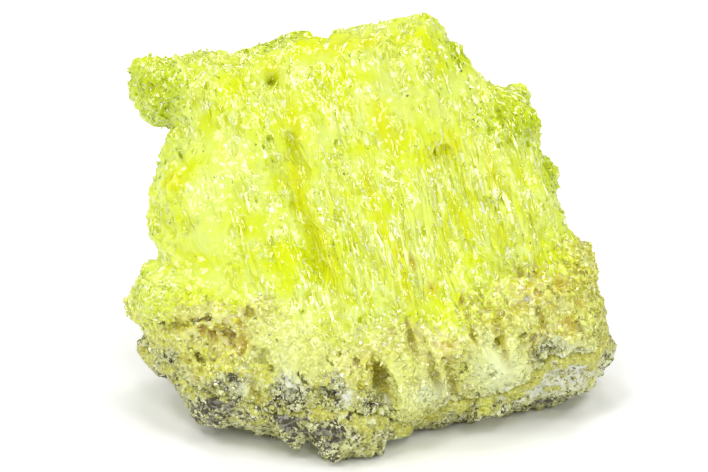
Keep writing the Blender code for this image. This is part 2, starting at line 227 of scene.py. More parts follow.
def store(mesh, name, values):
    layer = mesh.attributes.new(name, "FLOAT", "POINT")
    layer.data.foreach_set("value", np.asarray(values, np.float32))


def stored(mesh, name):
    values = np.empty(len(mesh.vertices), np.float32)
    mesh.attributes[name].data.foreach_get("value", values)
    return values


def solid_arrays(node):
    """A node's points and triangles, with its split corners joined again."""
    body = bmesh.new()
    body.from_mesh(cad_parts[node].data)
    bmesh.ops.remove_doubles(body, verts=body.verts, dist=1e-6)
    bmesh.ops.triangulate(body, faces=body.faces)
    points = np.array([tuple(v.co) for v in body.verts]) / MM
    triangles = np.array([[v.index for v in f.verts] for f in body.faces])
    body.free()
    return points, triangles


def applied(mesh, name, kind, **settings):
    """The mesh after one modifier."""
    source = bpy.data.objects.new(name, mesh)
    bpy.context.scene.collection.objects.link(source)
    modifier = source.modifiers.new(kind, kind)
    for setting, value in settings.items():
        setattr(modifier, setting, value)
    graph = bpy.context.evaluated_depsgraph_get()
    result = bpy.data.meshes.new_from_object(source.evaluated_get(graph))
    result.name = name
    bpy.data.objects.remove(source)
    return result


def fused(name, parts, voxel):
    """One closed skin over shells that overlap, as fine as the voxel, in millimetres."""
    shells = mesh_from(name, *joined(parts))
    return applied(shells, name, "REMESH", mode="VOXEL", voxel_size=voxel * MM)


def neighbour_mean(values, edges):
    """Each vertex's mean of the values at the other ends of its edges."""
    total = np.zeros_like(values)
    count = np.zeros(len(values))
    for a, b in ((0, 1), (1, 0)):
        np.add.at(total, edges[:, a], values[edges[:, b]])
        np.add.at(count, edges[:, a], 1)
    return total / np.maximum(count, 1)[:, None]


HOLLOW_ROUNDS = 6  # of smoothing, to tell a hollow from its surroundings


def hollowness(mesh):
    """How far each vertex lies below its smoothed surroundings, in millimetres."""
    points, edges = points_of(mesh), edges_of(mesh)
    smooth = points
    for _ in range(HOLLOW_ROUNDS):
        smooth = neighbour_mean(smooth, edges)
    return ((smooth - points) * normals_of(mesh)).sum(1)


# --- Zones -------------------------------------------------------------------------------

SULFUR_TREE = tree_over(*solid_arrays("sulfur_crystals"))
ROCK_TREE = tree_over(*solid_arrays("host_rock"))

# Lines across the face, each as u's and the v's there: the skirt's upper edge, the crest's top.
SKIRT_LINE = ((-32, -24, -14, -4, 6, 14, 20, 30), (26, 23.5, 20.5, 17, 17.5, 20, 24.5, 29))
CREST_LINE = ((-30, -16, -9, -4, 2, 5, 7.5, 10), (54.1, 53.9, 56.6, 56.9, 57.5, 58, 58.3, 57.6))

# Where the front face differs from the rest: (u, v, reach across the ribs, reach along them).
MARKS = {
    "deep": (  # yellow hollows between the ribs
        (1.6, 44.5, 0.9, 3.6), (-4.8, 54.0, 2.6, 1.0), (0.2, 54.4, 1.8, 1.0),
        (16.1, 37.8, 0.8, 2.4), (-12.6, 51.0, 1.2, 1.6), (-9.6, 44.0, 0.8, 4.0),
        (-8.6, 34.0, 1.0, 7.0), (-5.0, 26.0, 0.8, 4.0), (4.6, 24.0, 0.6, 4.0),
        (10.0, 40.5, 2.6, 1.2), (-25.0, 36.0, 1.2, 1.6), (0.6, 34.0, 0.5, 5.0),
    ),
    "groove": (  # olive grooves down the skirt
        (1.6, 10.8, 0.8, 3.6), (8.6, 11.6, 0.6, 2.6), (11.2, 10.0, 0.5, 2.2),
        (17.4, 15.6, 0.7, 3.4), (-14.4, 8.4, 0.7, 2.4), (-5.4, 8.0, 0.7, 2.8),
        (23.0, 18.0, 0.6, 2.6), (13.6, 17.0, 0.4, 2.6), (5.6, 16.6, 0.4, 2.6),
        (-24.6, 17.4, 2.4, 0.6),
    ),
    "pale": (  # whiter sulfur
        (-20.0, 34.0, 5.0, 8.0), (-10.1, 14.3, 3.0, 5.0), (4.3, 9.0, 2.0, 4.5),
        (17.4, 12.2, 3.6, 3.4), (9.0, 44.0, 5.0, 8.0), (-29.5, 23.0, 3.0, 6.0),
        (27.0, 14.0, 2.0, 2.4), (-6.0, 19.0, 4.0, 2.6), (1.0, 18.5, 9.0, 2.6),
        (-6.0, 14.5, 3.6, 5.0), (8.0, 12.0, 1.4, 2.0),
    ),
    "pitted": (  # brown pits among cream grains
        (-18.2, 16.2, 3.4, 2.4), (-20.0, 18.2, 5.0, 1.6), (-10.1, 9.7, 2.0, 2.0),
        (3.0, 9.0, 0.9, 3.2), (24.4, 15.6, 3.0, 2.4), (22.5, 12.0, 2.0, 2.0),
        (-2.6, 13.0, 2.0, 2.6), (21.0, 22.0, 3.0, 2.0), (-25.0, 10.0, 3.0, 2.0),
        (9.6, 15.0, 2.6, 2.0),
    ),
    "calm": (  # smooth sulfur with few glints
        (-20.5, 34.0, 6.0, 8.0), (-10.1, 15.5, 2.4, 3.0), (17.4, 12.8, 2.4, 2.0),
        (1.6, 44.5, 1.2, 3.6), (-4.0, 53.5, 6.0, 2.0), (-22.0, 26.0, 5.0, 3.0),
        (9.0, 47.0, 3.0, 3.0),
    ),
    "ribbed": ((2.0, 27.0, 11.0, 8.0), (12.0, 36.0, 6.0, 8.0), (20.0, 30.0, 3.0, 7.0)),
    "green": (  # thin greenish edges
        (-28.0, 48.5, 4.5, 4.5), (19.0, 45.0, 4.5, 3.5), (-12.0, 55.5, 4.0, 1.0),
        (25.0, 36.0, 1.2, 6.0), (-30.6, 24.0, 1.0, 2.4), (12.0, 53.0, 1.6, 2.6),
    ),
    "bare": (  # slate with no crust
        (-19.0, 7.2, 4.0, 2.2), (-5.0, 3.4, 2.6, 2.0), (23.3, 7.0, 2.4, 0.7),
        (-10.4, 6.0, 2.4, 2.4),
    ),
    "stony": (  # stone that shows in the skirt
        (-10.0, 8.6, 3.6, 3.4), (-21.0, 9.4, 6.0, 2.0), (1.2, 7.0, 2.2, 3.6),
        (-3.6, 9.0, 2.0, 3.0), (24.6, 13.6, 4.0, 2.6), (18.0, 6.6, 5.0, 1.6),
        (9.0, 5.4, 3.0, 1.4), (-27.0, 13.0, 2.6, 1.6),
    ),
    "amber": (  # small sunken amber spots
        (-17.9, 16.5, 0.5, 1.0), (-16.2, 15.6, 0.9, 1.1), (-21.2, 16.9, 0.4, 0.6),
        (-20.0, 16.2, 0.4, 0.6), (22.1, 24.4, 0.5, 0.8), (25.2, 22.9, 0.9, 1.0),
        (26.6, 17.8, 0.7, 1.0), (8.4, 22.4, 0.6, 0.9), (5.9, 25.8, 0.4, 1.2),
        (12.4, 21.0, 0.4, 0.8), (28.0, 20.4, 0.5, 0.7),
    ),
    "hole": ((-12.6, 49.4, 0.45, 0.45), (-24.5, 39.9, 0.25, 0.7), (-28.7, 49.0, 0.3, 0.5)),
    "nub": ((15.6, 6.3, 1.0, 0.7), (-8.8, 7.7, 1.0, 1.2), (7.0, 6.8, 0.9, 0.7)),  # stuck on the rock
    "fresh": ((-28.8, 21.5, 3.6, 5.0), (-26.0, 25.0, 3.4, 2.4), (-20.0, 22.5, 6.0, 1.8)),  # no crust
    "grey": ((20.7, 21.1, 0.8, 0.6),),
    "ashen": (  # ash-white patches
        (21.4, 8.6, 4.6, 1.5), (25.3, 12.7, 1.6, 1.6), (28.4, 11.9, 1.4, 1.8),
        (-9.8, 10.0, 1.4, 2.4), (8.4, 8.8, 3.0, 2.0), (17.2, 11.6, 3.6, 3.4),
        (-3.0, 8.6, 1.2, 1.4), (-16.0, 9.4, 1.6, 1.2), (26.6, 11.0, 3.0, 2.2),
    ),
}
ONLY_IN_FRONT = ("groove", "amber", "hole", "nub", "fresh", "grey")
ROCK_MARKS = ("bare", "ashen", "nub")
SULFUR_VALUES = ("hollow", "skirt", "face", "sparkle", "seam", *MARKS)


def marked(name, points, out):
    """How strongly each point carries one of the marks, from 0 to 1; random patches elsewhere."""
    u, v, _ = on_face(points)
    front = step_up(out @ OUT_OF_SLOPE, -0.1, 0.3)
    total = front * sum(hump(u, v, *mark) for mark in MARKS[name])
    if name not in ONLY_IN_FRONT:
        patches = noise_at(points, 4.5, 3.7 + 2.3 * list(MARKS).index(name))
        total += 0.5 * (1 - 0.6 * front) * step_up(patches, 0.15, 0.45)
    return np.clip(total, 0, 1)


def skirt_share(points):
    """1 in the granular skirt round the foot, 0 on the ribbed face above it."""
    u, v, _ = on_face(points)
    line = np.interp(u, *SKIRT_LINE)
    ragged = 3.0 * noise_at(points, 5.0)
    in_front = 1 - step_up(v + ragged, line - 4, line + 3)
    round_rock = 1 - step_up(distances(points, ROCK_TREE) + ragged, 3.0, 7.0)
    return np.maximum(in_front, round_rock)


def face_share(points, out):
    """1 on the ribbed face, 0 on the lobe, the sides and the back."""
    u, _, _ = on_face(points)
    facing = step_up(out @ OUT_OF_SLOPE, 0.15, 0.5)
    return facing * (1 - skirt_share(points)) * step_up(u, -27, -22)


def sparkle_share(points, out):
    """1 where small crystals glint, 0 where the sulfur is calm and glows."""
    patches = noise_at(points, 3.2, 11.0) + 0.5 * noise_at(points, 1.2, 5.0)
    ribbed, green, calm = (marked(name, points, out) for name in ("ribbed", "green", "calm"))
    return step_up(patches + 0.35 * ribbed + 0.4 * green - 0.55 * calm, -0.35, 0.4)


# What follows says where crystals grow: each gives every place its chance of one.

def off_face(places, out):
    return (1 - face_share(places, out)) * (1 - skirt_share(places))


def ribbed_zone(places, out):
    return face_share(places, out) * (0.08 + 0.92 * marked("ribbed", places, out))


def skirt_zone(places, out):
    return skirt_share(places)


def grainy_zone(places, out):
    """The part of the skirt that is rough with grains, less so in its pits and pale bodies."""
    smooth = sum(marked(name, places, out) for name in ("pale", "calm", "pitted", "fresh"))
    share = skirt_share(places) ** 2 * (1 - 0.35 * np.clip(smooth, 0, 1))
    return share * (1 - marked("amber", places, out))


def near_rock(places, out):
    return 1 - step_up(distances(places, ROCK_TREE), 0.8, 1.6)


def everywhere(places, out):
    return np.ones(len(places))


# --- Growing -----------------------------------------------------------------------------

class Growth(NamedTuple):
    """One kind of crystal on a skin. Each range is (least, most), and sizes are in millimetres."""

    tries: int
    where: object  # one of the zones above
    length: tuple
    slimness: tuple  # width for length
    widest: float
    habit: Habit
    standing_out: tuple
    stray: float  # from the ribs' direction
    lean: float  # from the way out of the skin


SULFUR_GROWTHS = (
    Growth(9000, ribbed_zone, (2.0, 9.0), (0.14, 0.3), 1.5, RIB, (0.04, 0.3), 0.04, 0.35),
    Growth(5000, face_share, (1.4, 4.0), (0.25, 0.5), 1.3, RIB, (0.0, 0.2), 0.2, 0.4),
    Growth(8000, face_share, (0.6, 1.8), (0.5, 0.9), 1.3, PRISM, (0.0, 0.2), 0.8, 0.4),
    Growth(9000, off_face, (1.0, 3.6), (0.4, 0.9), 2.4, PRISM, (0.05, 0.4), 0.9, 0.35),
    Growth(16000, skirt_zone, (0.5, 1.8), (0.6, 1.0), 1.6, PRISM, (0.0, 0.4), 1.5, 0.7),
)
SHARP_CRYSTALS = {
    "face_ribs": Growth(
        2600, ribbed_zone, (2.5, 10.0), (0.12, 0.24), 0.95, ROOF, (0.12, 0.22), 0.03, 0.08
    ),
    "face_glints": Growth(
        12000, sparkle_share, (0.4, 1.8), (0.2, 0.55), 0.75, GRAIN, (0.05, 0.2), 0.5, 0.5
    ),
    "skirt_grains": Growth(
        22000, grainy_zone, (0.3, 1.1), (0.6, 1.0), 1.0, GRAIN, (0.08, 0.35), 1.5, 0.7
    ),
    "seam_grains": Growth(
        40000, near_rock, (0.5, 1.6), (0.6, 1.0), 1.2, GRAIN, (0.1, 0.4), 1.5, 0.7
    ),
}
ROCK_GRAINS = Growth(7000, everywhere, (0.7, 3.0), (0.6, 1.0), 2.4, PRISM, (0.1, 0.5), 1.5, 0.7)


def thrown(points, triangles, count, rng):
    """Places thrown evenly on the triangles, with the way out there."""
    a, b, c = (points[triangles[:, i]] for i in range(3))
    cross = np.cross(b - a, c - a)
    areas = np.linalg.norm(cross, axis=1)
    picked = rng.choice(len(triangles), count, p=areas / areas.sum())
    s, t = np.sort(rng.random((2, count)), axis=0)
    s, t = s[:, None], t[:, None]
    places = a[picked] * s + b[picked] * (t - s) + c[picked] * (1 - t)
    return places, unit(cross[picked])


def shaken(directions, amount, rng):
    return unit(directions + rng.normal(0, amount, directions.shape))


def sizes_between(low, high, count, rng):
    """Random sizes, more of them small than large."""
    return low + (high - low) * rng.random(count) ** 2


def grown(skin, tree, growth, rng):
    """Crystals half sunk in the skin, as points and triangles."""
    places, out = thrown(*skin, growth.tries, rng)
    kept = growth.where(places, out) > rng.random(growth.tries)
    places, out = places[kept], out[kept]
    count, habit = len(places), growth.habit
    length = sizes_between(*growth.length, count, rng)
    width = np.minimum(length * rng.uniform(*growth.slimness, count), growth.widest)
    height = width * rng.uniform(*habit.height, count)
    sizes = np.stack((length, width, height), axis=1)
    lift = rng.uniform(*growth.standing_out, count) - 0.5 * height
    if habit is RIB:
        lift += 0.22 * marked("ribbed", places, out) * rng.random(count)
    along = shaken(np.tile(ALONG_RIBS, (count, 1)), growth.stray, rng)
    leaning = shaken(out, growth.lean, rng)
    places = places + lift[:, None] * out
    made, triangles = crystals(places, along, leaning, sizes, habit, rng)
    if habit.bends:
        made = laid(made, len(habit.section), tree, lift)
    return made.reshape(-1, 3), triangles


# --- Skins -------------------------------------------------------------------------------

SOFT_VOXEL, SOFT_ROUNDS = 0.5, 4  # for easing a solid's large flats
SULFUR_VOXEL, ROCK_VOXEL = 0.23, 0.28
MOST_TRIANGLES = 195000  # in one piece
MARK_DEPTHS = {"groove": 0.8, "amber": 0.6, "hole": 0.8}
CREST_EASE = 0.8  # how much of what tops the crest's line is taken off


def softened(node):
    """The solid with its large flats eased, as points and triangles."""
    mesh = fused(node, [solid_arrays(node)], SOFT_VOXEL)
    points, edges = points_of(mesh), edges_of(mesh)
    for _ in range(SOFT_ROUNDS):
        points = 0.5 * points + 0.5 * neighbour_mean(points, edges)
    return points, triangles_of(mesh)


def thinned(mesh, name):
    """The skin with fewer triangles, and flat where it stands on the floor."""
    ratio = min(MOST_TRIANGLES / triangle_count(mesh), 1.0)
    mesh = applied(mesh, name, "DECIMATE", ratio=ratio)
    mesh.validate()  # the thinning can leave a doubled face
    points = points_of(mesh)
    points[:, 2] = np.maximum(points[:, 2], 0.0)
    move_to(mesh, points)
    mesh.shade_smooth()
    return mesh


def scrambled(codes, steepness):
    """A random number from 0 to 1 for each code."""
    return np.abs(np.sin(codes) * steepness) % 1


def cells_at(points, size, stretch):
    """Two random numbers for the angular cell that each point lies in."""
    u, v, w = on_face(points)
    across, along = turned_to_ribs(u, v)
    places = np.stack((across, w, along / stretch), axis=1) / size
    middles = [tuple(noise.voronoi(Vector(p))[1][0]) for p in places]
    codes = np.array(middles) @ (12.9898, 78.233, 37.719)
    return scrambled(codes, 43758.5453), scrambled(codes * 1.7, 24634.633)


def cell_drops(points, out):
    """How far angular cells of the skin sink, in millimetres: some in the skirt drop as pits."""
    skirt, face = skirt_share(points), face_share(points, out)
    pitted, calm = marked("pitted", points, out), marked("calm", points, out)
    level, chance = cells_at(points, 1.1, 1.3)
    small, _ = cells_at(points, 0.55, 1.0)
    height = 0.3 - 0.22 * face - 0.15 * calm
    pits = skirt * (chance < 0.05 + 0.3 * pitted)
    steps = height * level + 0.16 * skirt * (1 - 0.6 * calm) * small
    return steps + pits * (0.35 + 0.55 * level)


def stepped(mesh):
    """Steps the skin by cells, sinks its grooves and holes, and eases what tops the crest."""
    points, out = points_of(mesh), normals_of(mesh)
    drop = cell_drops(points, out)
    for name, depth in MARK_DEPTHS.items():
        drop = drop + depth * marked(name, points, out)
    points = points - drop[:, None] * out
    u, v, _ = on_face(points)
    over = np.maximum(v - np.interp(u, *CREST_LINE), 0)
    move_to(mesh, points - CREST_EASE * over[:, None] * UP_SLOPE)


def sulfur_skin(rng):
    skin = softened("sulfur_crystals")
    tree = tree_over(*skin)
    parts = [skin] + [grown(skin, tree, growth, rng) for growth in SULFUR_GROWTHS]
    whole = fused("sulfur_shells", parts, SULFUR_VOXEL)
    stepped(whole)
    mesh = thinned(whole, "sulfur_skin")

    points, out = points_of(mesh), normals_of(mesh)
    store(mesh, "hollow", hollowness(mesh))
    store(mesh, "skirt", skirt_share(points))
    store(mesh, "face", face_share(points, out))
    store(mesh, "sparkle", sparkle_share(points, out))
    store(mesh, "seam", distances(points, ROCK_TREE))
    for name in MARKS:
        store(mesh, name, marked(name, points, out))
    return mesh


def sharp_crystals(name, growth, skin, rng):
    """Small sharp crystals that lie almost flush in the skin and carry its values."""
    points, triangles = points_of(skin), triangles_of(skin)
    tree = tree_over(points, triangles)
    made, faces = grown((points, triangles), tree, growth, rng)
    corners_each, faces_each = (len(part) for part in crystal_template(growth.habit))
    most = MOST_TRIANGLES // faces_each
    mesh = mesh_from(name, made[:most * corners_each], faces[:most * faces_each])
    nearest = triangles[[tree.find_nearest(Vector(p))[2] for p in points_of(mesh)], 0]
    for value in SULFUR_VALUES:
        store(mesh, value, stored(skin, value)[nearest])
    mesh.shade_flat()
    return mesh


def rock_skin(rng):
    skin = softened("host_rock")
    grains = grown(skin, None, ROCK_GRAINS, rng)
    mesh = thinned(fused("rock_shells", [skin, grains], ROCK_VOXEL), "rock_skin")
    store(mesh, "hollow", hollowness(mesh))
    for name in ROCK_MARKS:
        store(mesh, name, marked(name, points_of(mesh), normals_of(mesh)))
    store(mesh, "seam", distances(points_of(mesh), SULFUR_TREE))
    return mesh


# --- Wiring ------------------------------------------------------------------------------

PER_MM = 1000.0  # from counts per millimetre to the counts per metre of a texture's scale
MIDDLE = (0.5, 0.5, 0.5)  # of all random colours
# For each kind of mix: its first input, and its output.
MIX_SOCKETS = {"FLOAT": (2, 0), "VECTOR": (4, 1), "RGBA": (6, 2)}


class Wiring:
    """Short words for placing and linking nodes in one tree."""

    def __init__(self, tree):
        self.tree = tree

    def node(self, kind, inputs=None, **settings):
        made = self.tree.nodes.new(kind)
        for setting, value in settings.items():
            setattr(made, setting, value)
        for socket, value in (inputs or {}).items():
            self.feed(made.inputs[socket], value)
        return made

    def feed(self, socket, value):
        if isinstance(value, bpy.types.NodeSocket):
            self.tree.links.new(value, socket)
        else:
            socket.default_value = value

    def math(self, operation, first, second=0.0, clamp=False):
        inputs = {0: first, 1: second}
        return self.node("ShaderNodeMath", inputs, operation=operation, use_clamp=clamp).outputs[0]

    def plus(self, first, second):
        return self.math("ADD", first, second)

    def minus(self, first, second):
        return self.math("SUBTRACT", first, second)

    def times(self, first, second):
        return self.math("MULTIPLY", first, second)

    def above(self, value, line):
        """1 where the value is greater than the line, else 0."""
        return self.math("GREATER_THAN", value, line)

    def below(self, value, line):
        """1 where the value is less than the line, else 0."""
        return self.math("LESS_THAN", value, line)

    def ramp(self, value, low, high):
        """0 at low, 1 at high, smooth between."""
        made = self.node(
            "ShaderNodeMapRange",
            {"Value": value, "From Min": low, "From Max": high},
            interpolation_type="SMOOTHSTEP",
        )
        return made.outputs["Result"]

    def mix(self, share, first, second, kind="RGBA"):
        """Between two colours, or between two values of another kind."""
        at, output = MIX_SOCKETS[kind]
        inputs = {"Factor": share, at: first, at + 1: second}
        return self.node("ShaderNodeMix", inputs, data_type=kind).outputs[output]

    def over(self, colour, share, strength, tint):
        """The colour with a tint laid over it, where the share is."""
        return self.mix(self.times(share, strength), colour, tint)

    def vector(self, operation, first, second=(0, 0, 0)):
        made = self.node("ShaderNodeVectorMath", {0: first, 1: second}, operation=operation)
        return made.outputs["Value" if operation == "DOT_PRODUCT" else "Vector"]

    def scaled(self, vector, factor):
        inputs = {0: vector, "Scale": factor}
        return self.node("ShaderNodeVectorMath", inputs, operation="SCALE").outputs[0]

    def noise(self, vector, scale, detail=3.0, roughness=0.55):
        made = self.node(
            "ShaderNodeTexNoise",
            {"Vector": vector, "Scale": scale, "Detail": detail, "Roughness": roughness},
        )
        return made.outputs["Fac"]

    def place(self):
        return self.node("ShaderNodeTexCoord").outputs["Object"]

    def placed(self, group, inputs):
        """The outputs of a node group, placed with its own values."""
        return self.node("ShaderNodeGroup", inputs, node_tree=group).outputs


def new_group(name, inputs, outputs):
    """A node group with its two ends: inputs are (number's name, default), outputs (name, kind)."""
    group = bpy.data.node_groups.new(name, "ShaderNodeTree")
    for label, value in inputs:
        socket = group.interface.new_socket(label, in_out="INPUT", socket_type="NodeSocketFloat")
        socket.default_value = value
    for label, kind in outputs:
        group.interface.new_socket(label, in_out="OUTPUT", socket_type=kind)
    start = group.nodes.new("NodeGroupInput")
    end = group.nodes.new("NodeGroupOutput")
    return group, start.outputs, end.inputs


def new_material(name):
    material = bpy.data.materials.new(name)
    material.use_nodes = True
    shader = material.node_tree.nodes["Principled BSDF"]
    return material, Wiring(material.node_tree), shader.inputs


def skin_value(w, name):
    return w.node("ShaderNodeAttribute", attribute_name=name).outputs["Fac"]


# --- Colours -----------------------------------------------------------------------------

PALE_SULFUR = (0.74, 0.84, 0.18, 1)
LEMON_SULFUR = (0.69, 0.79, 0.0, 1)
SHADED_SULFUR = (0.58, 0.65, 0.01, 1)
GREEN_SULFUR = (0.53, 0.66, 0.0, 1)
# Painted shade for the green sulfur.
SHADED_GREEN = (0.36, 0.46, 0.0, 1)
# Deeper yellow, used partly as painted shade in the hollows.
DEEP_SULFUR = (0.69, 0.73, 0.0, 1)
GROOVE = (0.46, 0.41, 0.01, 1)
# Painted highlight: near-white flecks that stand for glints.
PAINTED_GLINT = (0.90, 0.93, 0.55, 1)
# Painted highlight for thin lines along the crystals' edges.
EDGE_LIGHT = (0.95, 0.97, 0.72, 1)

CRUST = (0.69, 0.69, 0.06, 1)
CRUST_PALE = (0.78, 0.83, 0.27, 1)
CRUST_OLIVE = (0.45, 0.42, 0.03, 1)
# Painted shade in the gaps between crust grains.
CRUST_GAP_SHADE = (0.17, 0.15, 0.02, 1)
CRUST_BROWN = (0.34, 0.22, 0.01, 1)
GREY_CRUST = (0.44, 0.43, 0.33, 1)
CREAM = (0.80, 0.75, 0.40, 1)
KHAKI = (0.50, 0.52, 0.19, 1)
SNOW_LEMON = (0.84, 0.90, 0.60, 1)
AMBER = (0.62, 0.48, 0.01, 1)
# Painted shade inside the tiny holes.
HOLE_SHADE = (0.16, 0.20, 0.0, 1)
SPECK = (0.10, 0.11, 0.02, 1)

ROCK_LIGHT = (0.63, 0.67, 0.29, 1)
ROCK_OLIVE = (0.34, 0.34, 0.09, 1)
ROCK_GREY = (0.27, 0.265, 0.215, 1)
ROCK_SPARK = (0.78, 0.77, 0.55, 1)
ROCK_DARK = (0.06, 0.05, 0.02, 1)
ASH = (0.69, 0.71, 0.60, 1)


# --- What the materials share ------------------------------------------------------------

def facets_group():
    """Tiny flat facets: each cell of a wavy pattern tips the surface its own way."""
    group, start, end = new_group(
        "crystal_facets",
        (("Cells per mm", 2.0), ("Stretch", 1.0), ("Tip", 0.3)),
        (("Normal", "NodeSocketVector"), ("Cell", "NodeSocketFloat"), ("Other", "NodeSocketFloat")),
    )
    w = Wiring(group)
    place = w.place()
    across = w.times(start["Cells per mm"], PER_MM)
    lengthwise = w.math("DIVIDE", across, start["Stretch"])
    axes = ((ACROSS_RIBS, across), (OUT_OF_SLOPE, across), (ALONG_RIBS, lengthwise))
    sides = [w.times(w.vector("DOT_PRODUCT", place, tuple(axis)), scale) for axis, scale in axes]
    cells = w.node("ShaderNodeCombineXYZ", dict(enumerate(sides))).outputs[0]
    waves = w.node("ShaderNodeTexNoise", {"Vector": cells, "Scale": 1.1, "Detail": 1.0})
    bend = w.vector("SUBTRACT", waves.outputs["Color"], MIDDLE)
    cells = w.vector("ADD", cells, w.vector("MULTIPLY", bend, (1.6, 1.6, 1.6)))
    code = w.node("ShaderNodeTexVoronoi", {"Vector": cells, "Scale": 1.0}).outputs["Color"]
    tip = w.scaled(w.vector("SUBTRACT", code, MIDDLE), start["Tip"])
    normal = w.node("ShaderNodeNewGeometry").outputs["Normal"]
    w.feed(end["Normal"], w.vector("NORMALIZE", w.vector("ADD", normal, tip)))
    again = w.node("ShaderNodeTexWhiteNoise", {"Vector": code})
    split = w.node("ShaderNodeSeparateColor", {0: again.outputs["Color"]})
    w.feed(end["Cell"], split.outputs[0])
    w.feed(end["Other"], split.outputs[1])
    return group


def crust_group():
    """Dull yellow grains, pale and olive, each of one colour, khaki where they are old, with dark
    flecks of painted shade between them.
    """
    group, start, end = new_group(
        "crust_grains",
        (("Grain", 0.5), ("Fleck", 0.5), ("Dull Above", 0.6), ("Age", 0.0)),
        (("Colour", "NodeSocketColor"),),
    )
    w = Wiring(group)
    colour = w.mix(w.ramp(start["Grain"], 0.1, 1.0), CRUST, CRUST_PALE)
    colour = w.mix(start["Age"], colour, KHAKI)
    colour = w.over(colour, w.above(start["Fleck"], start["Dull Above"]), 0.75, CRUST_OLIVE)
    # Painted shade: dark flecks stand for the shaded gaps between grains, more of them where the
    # crust is old.
    gap_shade_share = w.plus(w.times(start["Age"], 0.14), 0.02)
    colour = w.over(colour, w.below(start["Fleck"], gap_shade_share), 0.8, CRUST_GAP_SHADE)
    w.feed(end["Colour"], colour)
    return group


def stone_group():
    """Olive and beige grains with dark ones between them, a few bright flecks, and ash on top."""
    group, start, end = new_group(
        "stone_grains",
        (("Grain", 0.5), ("Fleck", 0.5), ("Patches per mm", 0.4), ("Ash", 0.0), ("Slate", 0.0)),
        (("Colour", "NodeSocketColor"),),
    )
    w = Wiring(group)
    patches = w.noise(w.place(), w.times(start["Patches per mm"], PER_MM), 3.0)
    light = w.minus(w.times(start["Grain"], 1.2), 0.18)
    light = w.plus(light, w.times(patches, 1.6))
    light = w.plus(light, w.times(start["Ash"], 0.45))
    light = w.minus(light, w.times(start["Slate"], 0.3))
    colour = w.mix(w.ramp(light, 0.85, 1.15), ROCK_DARK, ROCK_OLIVE)
    colour = w.mix(w.ramp(light, 1.2, 1.6), colour, ROCK_LIGHT)
    colour = w.mix(w.times(start["Ash"], w.ramp(light, 1.2, 1.7)), colour, ASH)
    colour = w.mix(w.above(start["Fleck"], 0.88), colour, ROCK_SPARK)
    w.feed(end["Colour"], colour)
    return group


STONE_PATCHES = 0.42  # per millimetre


def facet_cells(w, facets, cells, stretch, tip):
    return w.placed(facets, {"Cells per mm": cells, "Stretch": stretch, "Tip": tip})


def stone_colour(w, stone_grains, grain, fleck, ash, slate):
    inputs = {"Grain": grain, "Fleck": fleck, "Ash": ash, "Slate": slate}
    return w.placed(stone_grains, {"Patches per mm": STONE_PATCHES, **inputs})["Colour"]


# --- The sulfur's material ---------------------------------------------------------------

def sulfur_cells(w, facets, place, skin, tip):
    """The sulfur's facets, and the round ones alone: streaks and long cells lie on the ribs."""
    streak = facet_cells(w, facets, 2.2, 6.0, tip)
    long_cell = facet_cells(w, facets, 2.2, 2.2, tip)
    round_cell = facet_cells(w, facets, 2.5, 1.0, tip)
    rough = w.noise(place, 0.9 * PER_MM, 2.0)
    on_ribs = w.above(w.plus(skin["face"], rough), 1.1)
    in_streaks = w.above(w.plus(skin["ribbed"], rough), 1.0)
    cell = {}
    for output, kind in (("Normal", "VECTOR"), ("Cell", "FLOAT"), ("Other", "FLOAT")):
        ribs = w.mix(in_streaks, long_cell[output], streak[output], kind)
        cell[output] = w.mix(on_ribs, round_cell[output], ribs, kind)
    return cell, round_cell


def painted_edge_glints(w, place, cell, share):
    """Painted highlights: thin wavy lines, longer along the ribs, broken up by the cells."""
    ribs = tuple(ALONG_RIBS)
    run = w.vector("DOT_PRODUCT", place, ribs)
    squeezed = w.vector("SUBTRACT", place, w.scaled(ribs, w.times(run, 0.6)))
    off_crest = w.math("ABSOLUTE", w.minus(w.noise(squeezed, 0.9 * PER_MM, 1.5), 0.5))
    crest = w.below(off_crest, w.times(share, 0.016))
    return w.times(crest, w.above(cell, 0.45))


def fresh_sulfur(w, place, skin, cell, lively, painted_glints):
    """Clean sulfur: pale and lemon patches, painted shade on some facets, deeper yellow that is
    partly painted shade in hollows, painted glint flecks and painted highlights along thin edges.
    """
    patches = w.plus(w.times(w.noise(place, 0.19 * PER_MM, 4.0), 2.6), -0.95)
    # Where the sulfur sparkles, facets are paler at random: partly their own tone, partly painted
    # reflection.
    varied = w.times(cell["Cell"], w.times(skin["sparkle"], 0.5))
    whiteness = w.plus(w.plus(varied, patches), w.times(skin["pale"], 0.3))
    colour = w.mix(w.ramp(whiteness, 0.0, 0.9), LEMON_SULFUR, PALE_SULFUR)
    colour = w.mix(skin["green"], colour, GREEN_SULFUR)
    shaded = w.below(cell["Other"], w.times(skin["sparkle"], 0.3))
    colour = w.over(colour, shaded, 0.8, SHADED_SULFUR)
    # Painted shade: some cells of the green sulfur are darker, as shaded facets.
    dark = w.below(cell["Cell"], w.times(skin["green"], 0.25))
    colour = w.mix(dark, colour, SHADED_GREEN)
    # Deeper yellow in hollows, at the deep marks and in streaks on the ribs: partly the sulfur's own
    # deeper yellow, partly painted shade in the hollows and streaks.
    deep_yellow_and_shade = w.math("ADD", w.ramp(skin["hollow"], 0.05, 0.45), skin["deep"], clamp=True)
    streaky = w.times(skin["ribbed"], w.below(cell["Cell"], 0.25))
    deep_yellow_and_shade = w.math("ADD", deep_yellow_and_shade, w.times(streaky, 0.5), clamp=True)
    colour = w.mix(deep_yellow_and_shade, colour, DEEP_SULFUR)
    # Painted glints: a few facets turn near-white.
    colour = w.over(colour, painted_glints, 0.75, PAINTED_GLINT)
    # Painted highlights along thin wavy edges.
    return w.over(colour, painted_edge_glints(w, place, cell["Cell"], lively), 0.85, EDGE_LIGHT)


